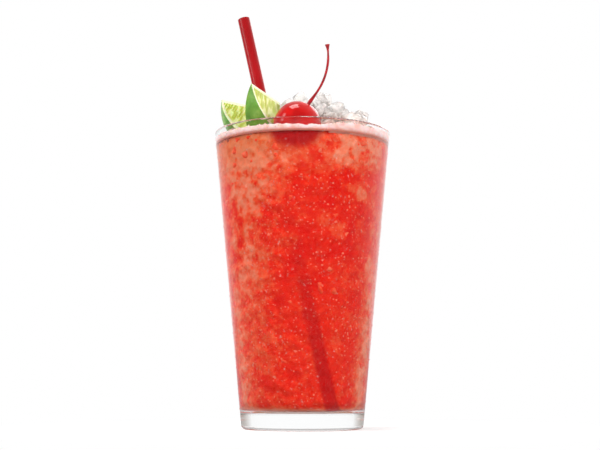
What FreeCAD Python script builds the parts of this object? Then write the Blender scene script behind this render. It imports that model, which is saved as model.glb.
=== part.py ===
"""A tall red iced lemonade in a conical pint tumbler.

The tumbler stands on the XY plane with its axis on Z. It is filled with drink to a little
below the rim. Crushed ice is heaped on the drink, and two short wedges of lime, a cocktail
cherry with its stem and a drinking straw stand in it. Lengths are in millimetres and
angles in degrees. The front of the drink, where the cherry sits, looks along -Y.
"""

import FreeCAD
import Part
import Sketcher
import math
import os
import random

DIMENSIONS = [
    # The tumbler: a plain cone with a thick floor.
    ("glass_height", 149.0),
    ("rim_diameter", 88.9),
    ("base_diameter", 60.3),
    ("rim_wall", 2.4),
    ("lip_radius", 1.0),
    ("foot_wall", 3.2),
    ("floor_thickness", 8.5),
    ("heel_radius", 2.2),
    ("floor_corner_radius", 6.0),
    ("punt_depth", 1.1),
    ("foot_ring_width", 5.0),
    # The drink. It and the ice keep a hair's breadth from the wall and from what stands in them.
    ("level_below_rim", 6.0),
    ("wall_gap", 0.15),
    ("garnish_gap", 0.2),
    # The straw stands on the floor and leans to the left and to the back.
    ("straw_diameter", 6.4),
    ("straw_wall", 0.35),
    ("straw_length", 211.0),
    ("straw_foot_right", 13.6),
    ("straw_foot_front", 15.8),
    ("straw_lean_left", 12.3),
    ("straw_lean_back", 8.9),
    # The cherry floats beside the front wall, and its hollow tips to the right.
    ("cherry_diameter", 23.0),
    ("cherry_hollow_radius", 4.6),
    ("cherry_hollow_depth", 2.4),
    ("cherry_lip_radius", 1.6),
    ("cherry_wall_gap", 0.9),
    ("cherry_left", 2.4),
    ("cherry_above_level", 4.8),
    ("cherry_tip_right", 26.0),
    # Its stem: a straight root, a bend, and a swollen end.
    ("stem_root_radius", 0.95),
    ("stem_waist_radius", 0.6),
    ("stem_end_radius", 1.2),
    ("stem_straight", 9.3),
    ("stem_bend_radius", 32.0),
    ("stem_bend_angle", 41.0),
    ("stem_rise", 55.0),
    # The lime: each piece is a slim eighth of a lime, cut across between its tip and its middle.
    ("lime_diameter", 51.0),
    ("lime_length", 54.0),
    ("wedge_angle", 42.0),
    # How far from the lime's middle each wedge is cut, where its tip is, how far its core
    # swings to the front and rises to the tip, and how far its lit face rolls up.
    ("front_wedge_cut", 5.6),
    ("front_wedge_left", 25.2),
    ("front_wedge_front", 20.5),
    ("front_wedge_above_rim", 21.3),
    ("front_wedge_swing", 48.0),
    ("front_wedge_rise", 17.9),
    ("front_wedge_roll", 24.1),
    ("left_wedge_cut", 9.0),
    ("left_wedge_left", 41.1),
    ("left_wedge_front", 1.0),
    ("left_wedge_above_rim", 17.3),
    ("left_wedge_swing", 11.0),
    ("left_wedge_rise", 9.7),
    ("left_wedge_roll", 33.0),
    # The heap of crushed ice: its crown stands to the right of the axis and behind it.
    ("heap_edge_height", 3.0),
    ("heap_crown_height", 25.5),
    ("heap_right", 4.0),
    ("heap_back", 10.0),
    ("heap_spread", 38.0),
    ("nugget_size", 9.5),
    ("nugget_pitch", 9.2),
    ("nugget_sink", 3.3),
]

RANDOM_SEED = 11


def fill_sheet(doc):
    """Writes each driving dimension to a cell of its own and names the cell."""
    sheet = doc.addObject("Spreadsheet::Sheet", "Dims")
    for row, (alias, value) in enumerate(DIMENSIONS, start=1):
        sheet.set(f"A{row}", alias)
        sheet.set(f"B{row}", str(value))
        sheet.setAlias(f"B{row}", alias)
    doc.recompute()
    return sheet


def origin_plane(body, role):
    """One of the body's own three origin planes."""
    return next(item for item in body.Origin.OriginFeatures if item.Role == role)


def new_sketch(body, name, role="XZ_Plane"):
    """An empty sketch on one of the body's origin planes."""
    sketch = body.newObject("Sketcher::SketchObject", name)
    sketch.AttachmentSupport = [(origin_plane(body, role), "")]
    sketch.MapMode = "FlatFace"
    return sketch


def place_point(sketch, geometry, end, across, up):
    """Fixes one point of a sketch at (across, up). Each is an expression, or None on the axis."""
    if across is None:
        sketch.addConstraint(Sketcher.Constraint("PointOnObject", geometry, end, -2))
    else:
        number = sketch.addConstraint(Sketcher.Constraint("DistanceX", -1, 1, geometry, end, 1.0))
        sketch.setExpression(f"Constraints[{number}]", across)
    if up is None:
        sketch.addConstraint(Sketcher.Constraint("PointOnObject", geometry, end, -1))
    else:
        number = sketch.addConstraint(Sketcher.Constraint("DistanceY", -1, 1, geometry, end, 1.0))
        sketch.setExpression(f"Constraints[{number}]", up)


def draw_outline(sketch, corners):
    """A closed chain of straight lines. Corners are (first guess, across, up), with expressions."""
    count = len(corners)
    for index in range(count):
        here = FreeCAD.Vector(*corners[index][0], 0)
        following = FreeCAD.Vector(*corners[(index + 1) % count][0], 0)
        sketch.addGeometry(Part.LineSegment(here, following), False)
    for index in range(count):
        sketch.addConstraint(Sketcher.Constraint("Coincident", index, 2, (index + 1) % count, 1))
    for index, (_, across, up) in enumerate(corners):
        place_point(sketch, index, 1, across, up)


def revolve(body, sketch, name):
    """Turns a sketch a full turn about its own vertical axis."""
    turned = body.newObject("PartDesign::Revolution", name)
    turned.Profile = sketch
    turned.ReferenceAxis = (sketch, ["V_Axis"])
    turned.Angle = 360.0
    sketch.Visibility = False
    return turned


def ring_edges(feature, height, radius=None):
    """The names of the feature's circular edges at a height, and of one radius if it is given."""
    found = []
    for index, edge in enumerate(feature.Shape.Edges, start=1):
        if edge.Degenerated or not isinstance(edge.Curve, Part.Circle):
            continue
        at_height = abs(edge.Curve.Center.z - height) < 0.01
        if at_height and (radius is None or abs(edge.Curve.Radius - radius) < 0.01):
            found.append(f"Edge{index}")
    return found


def fillet(body, feature, name, edges, radius_expression):
    """Rounds edges of the feature so far by a radius from the sheet."""
    rounded = body.newObject("PartDesign::Fillet", name)
    rounded.Base = (feature, edges)
    rounded.setExpression("Radius", radius_expression)
    body.Tip = rounded
    return rounded


def inner_radii():
    """The tumbler's inner radius at its floor and at its rim, as expressions."""
    slope = "(Dims.rim_diameter - Dims.base_diameter) / (2 * Dims.glass_height)"
    floor_radius = f"Dims.base_diameter / 2 + Dims.floor_thickness * {slope} - Dims.foot_wall"
    rim_radius = "Dims.rim_diameter / 2 - Dims.rim_wall"
    return floor_radius, rim_radius


def wall_radius(sheet, height):
    """The radius of the tumbler's inner wall at a height above the floor's corner."""
    outer_slope = (sheet.rim_diameter - sheet.base_diameter) / (2 * sheet.glass_height)
    foot = sheet.base_diameter / 2 + sheet.floor_thickness * outer_slope - sheet.foot_wall
    rim = sheet.rim_diameter / 2 - sheet.rim_wall
    share = (height - sheet.floor_thickness) / (sheet.glass_height - sheet.floor_thickness)
    return foot + (rim - foot) * share


def make_glass(doc, sheet):
    """The tumbler: a turned wall and floor, a domed punt, and rounded heel, floor corner and rim."""
    body = doc.addObject("PartDesign::Body", "glass")
    floor_radius, rim_radius = inner_radii()
    sketch = new_sketch(body, "glass_section")
    draw_outline(
        sketch,
        [
            ((0, 0), None, None),
            ((30, 0), "Dims.base_diameter / 2", None),
            ((44, 149), "Dims.rim_diameter / 2", "Dims.glass_height"),
            ((42, 149), rim_radius, "Dims.glass_height"),
            ((27, 8), floor_radius, "Dims.floor_thickness"),
            ((0, 8), None, "Dims.floor_thickness"),
        ],
    )
    wall = revolve(body, sketch, "glass_wall")
    doc.recompute()
    punt = make_punt(body)
    doc.recompute()
    base_radius = sheet.base_diameter / 2
    heel = fillet(body, punt, "heel", ring_edges(punt, 0, base_radius), "Dims.heel_radius")
    doc.recompute()
    corner_edges = ring_edges(heel, sheet.floor_thickness)
    corner = fillet(body, heel, "floor_corner", corner_edges, "Dims.floor_corner_radius")
    doc.recompute()
    rim_edges = ring_edges(corner, sheet.glass_height)
    fillet(body, corner, "rim", rim_edges, "Dims.lip_radius")
    return body


def make_punt(body):
    """The shallow dome under the floor, inside the foot ring."""
    reach = "(Dims.base_diameter / 2 - Dims.foot_ring_width)"
    sphere = f"(({reach} * {reach} + Dims.punt_depth * Dims.punt_depth) / (2 * Dims.punt_depth))"
    sketch = new_sketch(body, "punt_section")
    centre = FreeCAD.Vector(0, -284, 0)
    circle = Part.Circle(centre, FreeCAD.Vector(0, 0, 1), 285)
    half_turn = math.asin(25 / 285)
    sketch.addGeometry(Part.ArcOfCircle(circle, math.pi / 2 - half_turn, math.pi / 2), False)
    sketch.addGeometry(Part.LineSegment(FreeCAD.Vector(0, 1, 0), FreeCAD.Vector(0, 0, 0)), False)
    sketch.addGeometry(Part.LineSegment(FreeCAD.Vector(0, 0, 0), FreeCAD.Vector(25, 0, 0)), False)
    sketch.addConstraint(Sketcher.Constraint("Coincident", 0, 2, 1, 1))
    sketch.addConstraint(Sketcher.Constraint("Coincident", 1, 2, 2, 1))
    sketch.addConstraint(Sketcher.Constraint("Coincident", 2, 2, 0, 1))
    sketch.addConstraint(Sketcher.Constraint("PointOnObject", 0, 3, -2))
    sketch.addConstraint(Sketcher.Constraint("Coincident", 1, 2, -1, 1))
    sketch.addConstraint(Sketcher.Constraint("PointOnObject", 1, 1, -2))
    sketch.addConstraint(Sketcher.Constraint("PointOnObject", 2, 2, -1))
    number = sketch.addConstraint(Sketcher.Constraint("DistanceX", -1, 1, 2, 2, 25.0))
    sketch.setExpression(f"Constraints[{number}]", reach)
    number = sketch.addConstraint(Sketcher.Constraint("Radius", 0, 285.0))
    sketch.setExpression(f"Constraints[{number}]", sphere)
    punt = body.newObject("PartDesign::Groove", "punt")
    punt.Profile = sketch
    punt.ReferenceAxis = (sketch, ["V_Axis"])
    punt.Angle = 360.0
    body.Tip = punt
    return punt


def make_straw(doc, sheet):
    """A plain tube. Its low edge stands on the floor and it leans to the left and to the back."""
    body = doc.addObject("PartDesign::Body", "straw")
    sketch = new_sketch(body, "straw_section", "XY_Plane")
    for geometry, radius in enumerate(
        ("Dims.straw_diameter / 2", "Dims.straw_diameter / 2 - Dims.straw_wall")
    ):
        centre = FreeCAD.Vector(0, 0, 0)
        circle = Part.Circle(centre, FreeCAD.Vector(0, 0, 1), 3.0 - 0.5 * geometry)
        sketch.addGeometry(circle, False)
        sketch.addConstraint(Sketcher.Constraint("Coincident", geometry, 3, -1, 1))
        number = sketch.addConstraint(Sketcher.Constraint("Radius", geometry, circle.Radius))
        sketch.setExpression(f"Constraints[{number}]", radius)
    tube = body.newObject("PartDesign::Pad", "straw_tube")
    tube.Profile = sketch
    tube.setExpression("Length", "Dims.straw_length")
    body.Placement = straw_placement(sheet)
    return body


def straw_placement(sheet):
    """Where the straw stands: its lowest edge touches the floor."""
    left = math.tan(math.radians(sheet.straw_lean_left))
    back = math.tan(math.radians(sheet.straw_lean_back))
    along = FreeCAD.Vector(-left, back, 1).normalize()
    edge_drop = sheet.straw_diameter / 2 * math.hypot(along.x, along.y)
    foot = FreeCAD.Vector(
        sheet.straw_foot_right, -sheet.straw_foot_front, sheet.floor_thickness + edge_drop
    )
    return FreeCAD.Placement(foot, FreeCAD.Rotation(FreeCAD.Vector(0, 0, 1), along))


def cherry_centre(sheet):
    """The cherry's middle: a small gap inside the front wall, a little above the drink's level."""
    level = sheet.glass_height - sheet.level_below_rim
    reach = wall_radius(sheet, level) - sheet.cherry_wall_gap - sheet.cherry_diameter / 2
    front = math.sqrt(reach**2 - sheet.cherry_left**2)
    return FreeCAD.Vector(-sheet.cherry_left, -front, level + sheet.cherry_above_level)


def cherry_axis(sheet):
    """The direction that the cherry's hollow looks in: up, tipped to the right."""
    tip = math.radians(sheet.cherry_tip_right)
    return FreeCAD.Vector(math.sin(tip), 0, math.cos(tip))


def make_cherry(doc, sheet):
    """A round fruit with a hollow for the stem, whose lip is rounded."""
    body = doc.addObject("PartDesign::Body", "cherry")
    sketch = new_sketch(body, "cherry_section")
    radius = sheet.cherry_diameter / 2
    hollow = sheet.cherry_hollow_radius
    hollow_centre = radius - sheet.cherry_hollow_depth + hollow
    meeting = (hollow_centre**2 + radius**2 - hollow**2) / (2 * hollow_centre)
    outer_end = math.asin(meeting / radius)
    inner_end = math.atan2(meeting - hollow_centre, math.sqrt(radius**2 - meeting**2))
    flesh = Part.Circle(FreeCAD.Vector(0, 0, 0), FreeCAD.Vector(0, 0, 1), radius)
    scoop = Part.Circle(FreeCAD.Vector(0, hollow_centre, 0), FreeCAD.Vector(0, 0, 1), hollow)
    sketch.addGeometry(Part.ArcOfCircle(flesh, -math.pi / 2, outer_end), False)
    sketch.addGeometry(Part.ArcOfCircle(scoop, -math.pi / 2, inner_end), False)
    bottom = FreeCAD.Vector(0, -radius, 0)
    scoop_bottom = FreeCAD.Vector(0, hollow_centre - hollow, 0)
    sketch.addGeometry(Part.LineSegment(scoop_bottom, bottom), False)
    sketch.addConstraint(Sketcher.Constraint("Coincident", 0, 3, -1, 1))
    sketch.addConstraint(Sketcher.Constraint("PointOnObject", 1, 3, -2))
    sketch.addConstraint(Sketcher.Constraint("Coincident", 0, 2, 1, 2))
    sketch.addConstraint(Sketcher.Constraint("Coincident", 1, 1, 2, 1))
    sketch.addConstraint(Sketcher.Constraint("Coincident", 2, 2, 0, 1))
    sketch.addConstraint(Sketcher.Constraint("PointOnObject", 2, 1, -2))
    sketch.addConstraint(Sketcher.Constraint("PointOnObject", 2, 2, -2))
    number = sketch.addConstraint(Sketcher.Constraint("Radius", 0, radius))
    sketch.setExpression(f"Constraints[{number}]", "Dims.cherry_diameter / 2")
    number = sketch.addConstraint(Sketcher.Constraint("Radius", 1, hollow))
    sketch.setExpression(f"Constraints[{number}]", "Dims.cherry_hollow_radius")
    number = sketch.addConstraint(Sketcher.Constraint("DistanceY", -1, 1, 1, 3, hollow_centre))
    sketch.setExpression(
        f"Constraints[{number}]",
        "Dims.cherry_diameter / 2 - Dims.cherry_hollow_depth + Dims.cherry_hollow_radius",
    )
    fruit = revolve(body, sketch, "cherry_flesh")
    doc.recompute()
    fillet(body, fruit, "cherry_lip", ring_edges(fruit, meeting), "Dims.cherry_lip_radius")
    upright = FreeCAD.Rotation(FreeCAD.Vector(0, 0, 1), cherry_axis(sheet))
    body.Placement = FreeCAD.Placement(cherry_centre(sheet), upright)
    return body


def stem_stations(sheet):
    """Points, directions and radii along the stem, from the hollow's floor to its swollen end."""
    axis = cherry_axis(sheet)
    seat = cherry_centre(sheet) + axis * (sheet.cherry_diameter / 2 - sheet.cherry_hollow_depth)
    rise = math.radians(sheet.stem_rise)
    along = FreeCAD.Vector(math.cos(rise), 0, math.sin(rise))
    bend_start = seat + along * sheet.stem_straight
    to_centre = FreeCAD.Vector(-along.z, 0, along.x)
    centre = bend_start + to_centre * sheet.stem_bend_radius
    stations = [
        (seat, along, sheet.stem_root_radius * 1.15),
        (seat + along * sheet.stem_straight * 0.3, along, sheet.stem_root_radius),
        (seat + along * sheet.stem_straight * 0.7, along, sheet.stem_root_radius * 0.8),
    ]
    steps = 5
    for step in range(steps + 1):
        turned = math.radians(sheet.stem_bend_angle) * step / steps
        spoke = FreeCAD.Vector(
            math.sin(rise + turned) * sheet.stem_bend_radius,
            0,
            -math.cos(rise + turned) * sheet.stem_bend_radius,
        )
        heading = FreeCAD.Vector(math.cos(rise + turned), 0, math.sin(rise + turned))
        stations.append((centre + spoke, heading, sheet.stem_waist_radius))
    point, heading, _ = stations[-1]
    swelling = sheet.stem_end_radius
    stations.append((point + heading * swelling, heading, swelling * 0.7))
    stations.append((point + heading * swelling * 2, heading, swelling))
    return stations


def make_stem(doc, sheet, cherry):
    """The stem: one smooth loft through rings along a straight root and a bend."""
    rings = []
    for point, heading, radius in stem_stations(sheet):
        rings.append(Part.Wire(Part.Circle(point, heading, radius).toShape()))
    stem = doc.addObject("Part::Feature", "cherry_stem")
    flesh = cherry.Shape.translated(cherry_axis(sheet) * sheet.garnish_gap)
    stem.Shape = Part.makeLoft(rings, True).cut(flesh)
    return stem


def make_wedge(doc, sheet, label, growth="0"):
    """An eighth of a lime, cut across: a sector of an ellipsoid whose pole is the lime's tip."""
    side = "front" if "front" in label else "left"
    wedge = doc.addObject("Part::Ellipsoid", label)
    half_length = f"(Dims.lime_length / 2 + {growth})"
    wedge.setExpression("Radius1", half_length)
    wedge.setExpression("Radius2", f"Dims.lime_diameter / 2 + {growth}")
    wedge.setExpression("Radius3", f"Dims.lime_diameter / 2 + {growth}")
    wedge.setExpression("Angle1", f"asin((Dims.{side}_wedge_cut - {growth}) / {half_length})")
    wedge.setExpression("Angle3", "Dims.wedge_angle")
    wedge.Placement = wedge_placement(sheet, side)
    return wedge


def wedge_placement(sheet, side):
    """Lays a wedge by its tip and by the swing, rise and roll of its core and its lit face."""
    tip = FreeCAD.Vector(
        -getattr(sheet, f"{side}_wedge_left"),
        -getattr(sheet, f"{side}_wedge_front"),
        sheet.glass_height + getattr(sheet, f"{side}_wedge_above_rim"),
    )
    swing = math.radians(getattr(sheet, f"{side}_wedge_swing"))
    rise = math.radians(getattr(sheet, f"{side}_wedge_rise"))
    roll = math.radians(getattr(sheet, f"{side}_wedge_roll"))
    level = math.cos(rise)
    core = FreeCAD.Vector(-level * math.cos(swing), -level * math.sin(swing), math.sin(rise))
    down = (FreeCAD.Vector(0, 0, -1) + core * core.z).normalize()
    lit_edge = down * math.cos(roll) + core.cross(down) * math.sin(roll)
    spread = math.radians(sheet.wedge_angle)
    far_edge = lit_edge * math.cos(spread) - core.cross(lit_edge) * math.sin(spread)
    turn = FreeCAD.Rotation(far_edge, core.cross(far_edge), core, "ZXY")
    return FreeCAD.Placement(tip - core * (sheet.lime_length / 2), turn)


def make_room(doc, sheet):
    """The room that the garnish takes up: each piece a hair's breadth larger all round."""
    rod = doc.addObject("Part::Cylinder", "straw_room")
    rod.setExpression("Radius", "Dims.straw_diameter / 2 + Dims.garnish_gap")
    rod.setExpression("Height", "Dims.straw_length")
    rod.Placement = straw_placement(sheet)
    ball = doc.addObject("Part::Sphere", "cherry_room")
    ball.setExpression("Radius", "Dims.cherry_diameter / 2 + Dims.garnish_gap")
    ball.Placement.Base = cherry_centre(sheet)
    wedges = [
        make_wedge(doc, sheet, f"lime_{side}_room", "Dims.garnish_gap") for side in ("front", "left")
    ]
    room = doc.addObject("Part::Compound", "garnish_room")
    room.Links = [rod, ball, *wedges]
    doc.recompute()
    return room


def make_drink(doc, sheet, room):
    """The drink: the tumbler's inside up to the level, cut round all that stands in it."""
    fill = doc.addObject("PartDesign::Body", "drink_fill")
    floor_radius, rim_radius = inner_radii()
    floor = "Dims.floor_thickness + Dims.wall_gap"
    level = "Dims.glass_height - Dims.level_below_rim"
    share = f"({level} - Dims.floor_thickness) / (Dims.glass_height - Dims.floor_thickness)"
    level_radius = f"({floor_radius}) + ({rim_radius} - ({floor_radius})) * {share}"
    sketch = new_sketch(fill, "drink_section")
    draw_outline(
        sketch,
        [
            ((0, 8), None, floor),
            ((27, 8), f"{floor_radius} - Dims.wall_gap", floor),
            ((41, 143), f"{level_radius} - Dims.wall_gap", level),
            ((0, 143), None, level),
        ],
    )
    liquid = revolve(fill, sketch, "drink_liquid")
    doc.recompute()
    edges = ring_edges(liquid, sheet.floor_thickness + sheet.wall_gap)
    fillet(fill, liquid, "drink_corner", edges, "Dims.floor_corner_radius")
    drink = doc.addObject("Part::Cut", "drink")
    drink.Base = fill
    drink.Tool = room
    doc.recompute()
    return drink


def ice_nugget(size, chance):
    """One broken lump of ice: what two turned blocks have in common, so its faces are uneven."""
    lump = None
    for _ in range(2):
        sides = [size * chance.uniform(0.72, 1.12) for _ in range(3)]
        block = Part.makeBox(*sides, FreeCAD.Vector(*(-side / 2 for side in sides)))
        axis = FreeCAD.Vector(*(chance.uniform(-1, 1) for _ in range(3)))
        block.rotate(FreeCAD.Vector(0, 0, 0), axis, chance.uniform(20, 160))
        lump = block if lump is None else lump.common(block)
    return lump


def heap_height(sheet, across, deep):
    """How high the heap stands above the drink at a place in the tumbler's mouth."""
    from_crown = math.hypot(across - sheet.heap_right, deep - sheet.heap_back)
    share = min(from_crown / sheet.heap_spread, 1.0)
    rise = sheet.heap_crown_height - sheet.heap_edge_height
    return sheet.heap_edge_height + rise * (1 - share**2)


def heap_places(sheet, reach, chance):
    """Places for nuggets in rings over the heap, each with its own size."""
    places = []
    rings = int(reach // sheet.nugget_pitch)
    for ring in range(rings + 1):
        radius = min(ring * sheet.nugget_pitch, reach - sheet.nugget_size * 0.45)
        count = max(1, round(2 * math.pi * radius / sheet.nugget_pitch))
        for index in range(count):
            angle = 2 * math.pi * (index + 0.5 * (ring % 2)) / count + chance.uniform(-0.1, 0.1)
            out = radius + chance.uniform(-1, 1) * (1.0 if ring < rings else 0.3)
            size = sheet.nugget_size * chance.uniform(0.85, 1.2)
            places.append((out * math.cos(angle), out * math.sin(angle), size))
    return places


def heap_core(sheet, level, reach):
    """The smooth inside of the heap: a thin layer on the drink and a dome under the crown."""
    layer_height = sheet.heap_edge_height * 0.6
    layer = Part.makeCylinder(reach, layer_height, FreeCAD.Vector(0, 0, level))
    rise = sheet.heap_crown_height - sheet.heap_edge_height - sheet.nugget_sink
    radius = (sheet.heap_spread**2 + rise**2) / (2 * rise)
    middle = level + layer_height + rise - radius
    ball = Part.makeSphere(radius, FreeCAD.Vector(sheet.heap_right, sheet.heap_back, middle))
    return layer.fuse(ball)


def make_ice_heap(doc, sheet, room, stem):
    """The heap: a dome inside the wall with broken lumps all over it, cut round the garnish."""
    chance = random.Random(RANDOM_SEED)
    level = sheet.glass_height - sheet.level_below_rim
    reach = wall_radius(sheet, level) - sheet.wall_gap
    rim_reach = wall_radius(sheet, sheet.glass_height) - sheet.wall_gap
    lumps = []
    for across, deep, size in heap_places(sheet, reach, chance):
        lump = ice_nugget(size, chance)
        seat = level + heap_height(sheet, across, deep) - sheet.nugget_sink
        lump.translate(FreeCAD.Vector(across, deep, seat))
        lumps.append(lump)
    heap = heap_core(sheet, level, reach).fuse(lumps)
    mouth = Part.makeCone(reach, rim_reach, sheet.level_below_rim, FreeCAD.Vector(0, 0, level))
    above = Part.makeCylinder(rim_reach, 60, FreeCAD.Vector(0, 0, sheet.glass_height))
    heap = heap.common(mouth.fuse(above)).cut([room.Shape, stem.Shape])
    solids = sorted(heap.removeSplitter().Solids, key=lambda solid: solid.Volume)
    feature = doc.addObject("Part::Feature", "ice_heap")
    feature.Shape = solids[-1]
    return feature


def check(doc, parts):
    """Stops if any object failed, or any sub-part has no valid solid."""
    for item in doc.Objects:
        if "Invalid" in item.State or "Error" in item.State:
            raise RuntimeError(f"{item.Label} failed: {item.State}")
    for item in parts:
        if item.Shape.isNull() or not item.Shape.isValid() or not item.Shape.Solids:
            raise RuntimeError(f"{item.Label} has no valid solid")


def main():
    doc = FreeCAD.newDocument("lemonade")
    sheet = fill_sheet(doc)
    glass = make_glass(doc, sheet)
    straw = make_straw(doc, sheet)
    cherry = make_cherry(doc, sheet)
    doc.recompute()
    stem = make_stem(doc, sheet, cherry)
    front_wedge = make_wedge(doc, sheet, "lime_front_wedge")
    left_wedge = make_wedge(doc, sheet, "lime_left_wedge")
    doc.recompute()
    room = make_room(doc, sheet)
    drink = make_drink(doc, sheet, room)
    heap = make_ice_heap(doc, sheet, room, stem)
    doc.recompute()
    parts = [glass, drink, heap, straw, cherry, stem, front_wedge, left_wedge]
    check(doc, parts)
    os.makedirs("parts", exist_ok=True)
    for item in parts:
        item.Shape.exportStep(f"parts/{item.Label}.step")
        box = item.Shape.BoundBox
        print(
            f"{item.Label}: {len(item.Shape.Solids)} solid, {item.Shape.Volume / 1000:.2f} ml, "
            f"z {box.ZMin:.1f} to {box.ZMax:.1f}"
        )


main()
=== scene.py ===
# %% [markdown]
# # A red iced lemonade in a pint tumbler
# The CAD model gives every size: a conical tumbler, the drink, a heap of crushed ice, two lime
# wedges, a cherry on its stem and a straw. This lesson dresses that frame. What is hard and
# smooth keeps its CAD shape and gets a finish. What is loose, wet or grown gets a new shape.

import math
import random

import bmesh
import bpy
import numpy as np
from mathutils import Matrix, Vector, noise
from mathutils.bvhtree import BVHTree


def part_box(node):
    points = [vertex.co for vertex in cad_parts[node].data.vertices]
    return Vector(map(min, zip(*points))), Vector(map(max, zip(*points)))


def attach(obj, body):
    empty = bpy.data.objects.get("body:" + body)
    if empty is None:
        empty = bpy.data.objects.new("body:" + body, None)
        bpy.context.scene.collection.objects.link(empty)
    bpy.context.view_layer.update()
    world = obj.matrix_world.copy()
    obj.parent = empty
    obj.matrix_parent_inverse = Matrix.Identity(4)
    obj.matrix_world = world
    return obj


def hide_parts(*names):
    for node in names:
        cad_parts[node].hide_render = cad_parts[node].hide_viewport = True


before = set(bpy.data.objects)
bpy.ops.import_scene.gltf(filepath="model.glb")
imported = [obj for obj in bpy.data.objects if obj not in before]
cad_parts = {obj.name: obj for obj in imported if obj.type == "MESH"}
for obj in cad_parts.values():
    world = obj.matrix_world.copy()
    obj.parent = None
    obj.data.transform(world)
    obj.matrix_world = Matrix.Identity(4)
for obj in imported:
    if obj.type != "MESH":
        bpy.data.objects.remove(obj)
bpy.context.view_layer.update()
MM = 0.001
print("nodes:", sorted(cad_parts))

# %% [markdown]
# The tumbler is a cone, so a few numbers place everything inside it. The rim comes from the CAD
# box. The floor that the drink stands on and two radii of the inner wall are measured on the CAD
# mesh, by casting rays at it. The drink's level is six millimetres below the rim.

# %% Measure the tumbler
def bvh_of(node):
    """A search tree over one CAD node, for casting rays at it."""
    return BVHTree.FromObject(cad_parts[node], bpy.context.evaluated_depsgraph_get())


glass_bvh = bvh_of("glass")
RIM_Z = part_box("glass")[1][2]
RIM_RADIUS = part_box("glass")[1][0]


def inner_radius(z):
    """The radius of the inner wall at a height. The ray leans a little, to miss the mesh's seam."""
    hit = glass_bvh.ray_cast(Vector((0, 0, z)), Vector((1, 0.003, 0)))[0]
    return math.hypot(hit.x, hit.y)


FLOOR_Z = glass_bvh.ray_cast(Vector((0.001, 0.001, RIM_Z)), Vector((0, 0, -1)))[0].z
CORNER = 6.0 * MM
LOW_Z = FLOOR_Z + 8 * MM
HIGH_Z = RIM_Z - 2 * MM
LOW_RADIUS = inner_radius(LOW_Z)
HIGH_RADIUS = inner_radius(HIGH_Z)
LEVEL_Z = RIM_Z - 6.0 * MM


def wall_at(z):
    """The inner wall's radius at any height, its rounded floor corner included."""
    straight = LOW_RADIUS + (HIGH_RADIUS - LOW_RADIUS) * (z - LOW_Z) / (HIGH_Z - LOW_Z)
    below = FLOOR_Z + CORNER - z
    if below <= 0:
        return straight
    return straight - CORNER + math.sqrt(max(CORNER**2 - below**2, 0))


print(f"rim {RIM_Z / MM:.1f} mm up, floor {FLOOR_Z / MM:.1f}, level {LEVEL_Z / MM:.1f}")
print(f"inner wall {LOW_RADIUS / MM:.1f} mm near the floor, {HIGH_RADIUS / MM:.1f} mm at the rim")

# %% [markdown]
# Colours are written as the hex values that a screen shows. Blender computes with linear light,
# so one function turns the first into the second. A second one adds a node to a material: it
# sets the node up, then gives each input its value, or links it to the node that it comes from.
# Every finish below is built with it.

# %% Helpers for finishes
def srgb(code):
    """A hex colour such as #c8102e as the linear colour that Blender computes with."""
    parts = [int(code[i : i + 2], 16) / 255 for i in (1, 3, 5)]
    linear = [c / 12.92 if c <= 0.04045 else ((c + 0.055) / 1.055) ** 2.4 for c in parts]
    return (*linear, 1.0)


def add(tree, kind, inputs=None, stops=(), **settings):
    """Adds one node of a kind, which is Blender's name for it after the words ShaderNode.

    An input takes a value, a node, which stands for its first output, or one output of a node.
    The stops are the places and colours of a colour ramp.
    """
    node = tree.nodes.new("ShaderNode" + kind)
    for name, value in settings.items():
        setattr(node, name, value)
    for name, value in (inputs or {}).items():
        if isinstance(value, bpy.types.Node):
            value = value.outputs[0]
        if isinstance(value, bpy.types.NodeSocket):
            tree.links.new(value, node.inputs[name])
        else:
            node.inputs[name].default_value = value
    if stops:
        while len(node.color_ramp.elements) < len(stops):
            node.color_ramp.elements.new(1.0)
        for element, (place, colour) in zip(node.color_ramp.elements, stops):
            element.position = place
            element.color = colour
    return node


def new_finish(name):
    """An empty material and its node tree."""
    material = bpy.data.materials.new(name)
    material.use_nodes = True
    material.node_tree.nodes.clear()
    return material, material.node_tree


print("syrup red in linear light:", [round(part, 3) for part in srgb("#c8102e")])

# %% [markdown]
# ## The tumbler
# Soda-lime glass, pressed in a mould and fire-polished, so it is clear and quite smooth, with an
# IOR of 1.52. Only its mirror image of the room is weakened, by the specular tint, because a
# pale room would lie over the drink like a veil. Real glass also lets the lamps' light through to
# what it holds. A path tracer finds that light slowly, so for shadow rays the glass is made a
# plain clear pane. It is one too for a ray that has turned eight times between the wall's two
# faces, which would otherwise be given up as black.

# %% Clear glass
TURNS_ALLOWED = 8.0


def let_lamps_through(tree, shader, tint):
    """The shader, but a tinted clear pane for shadow rays and for rays that are caught inside."""
    path = add(tree, "LightPath").outputs
    caught = add(tree, "Math", {0: path["Ray Depth"], 1: TURNS_ALLOWED}, operation="GREATER_THAN")
    passes = add(tree, "Math", {0: path["Is Shadow Ray"], 1: caught}, operation="MAXIMUM")
    pane = add(tree, "BsdfTransparent", {"Color": tint})
    return add(tree, "MixShader", {0: passes, 1: shader, 2: pane})


def refinish(node, material):
    """Gives a CAD node a better material and keeps its shape."""
    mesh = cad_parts[node].data
    mesh.materials.clear()
    mesh.materials.append(material)
    print(f"{node}: keeps its CAD shape, finished in {material.name}")


clear_glass, tree = new_finish("pressed_soda_lime_glass")
shader = add(
    tree,
    "BsdfPrincipled",
    {
        "Base Color": srgb("#fdfefe"),
        "Roughness": 0.0,
        "IOR": 1.52,
        "Specular Tint": srgb("#7c7c7c"),
        "Transmission Weight": 1.0,
    },
)
add(tree, "OutputMaterial", {"Surface": let_lamps_through(tree, shader, srgb("#fbfcfc"))})
refinish("glass", clear_glass)

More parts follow.
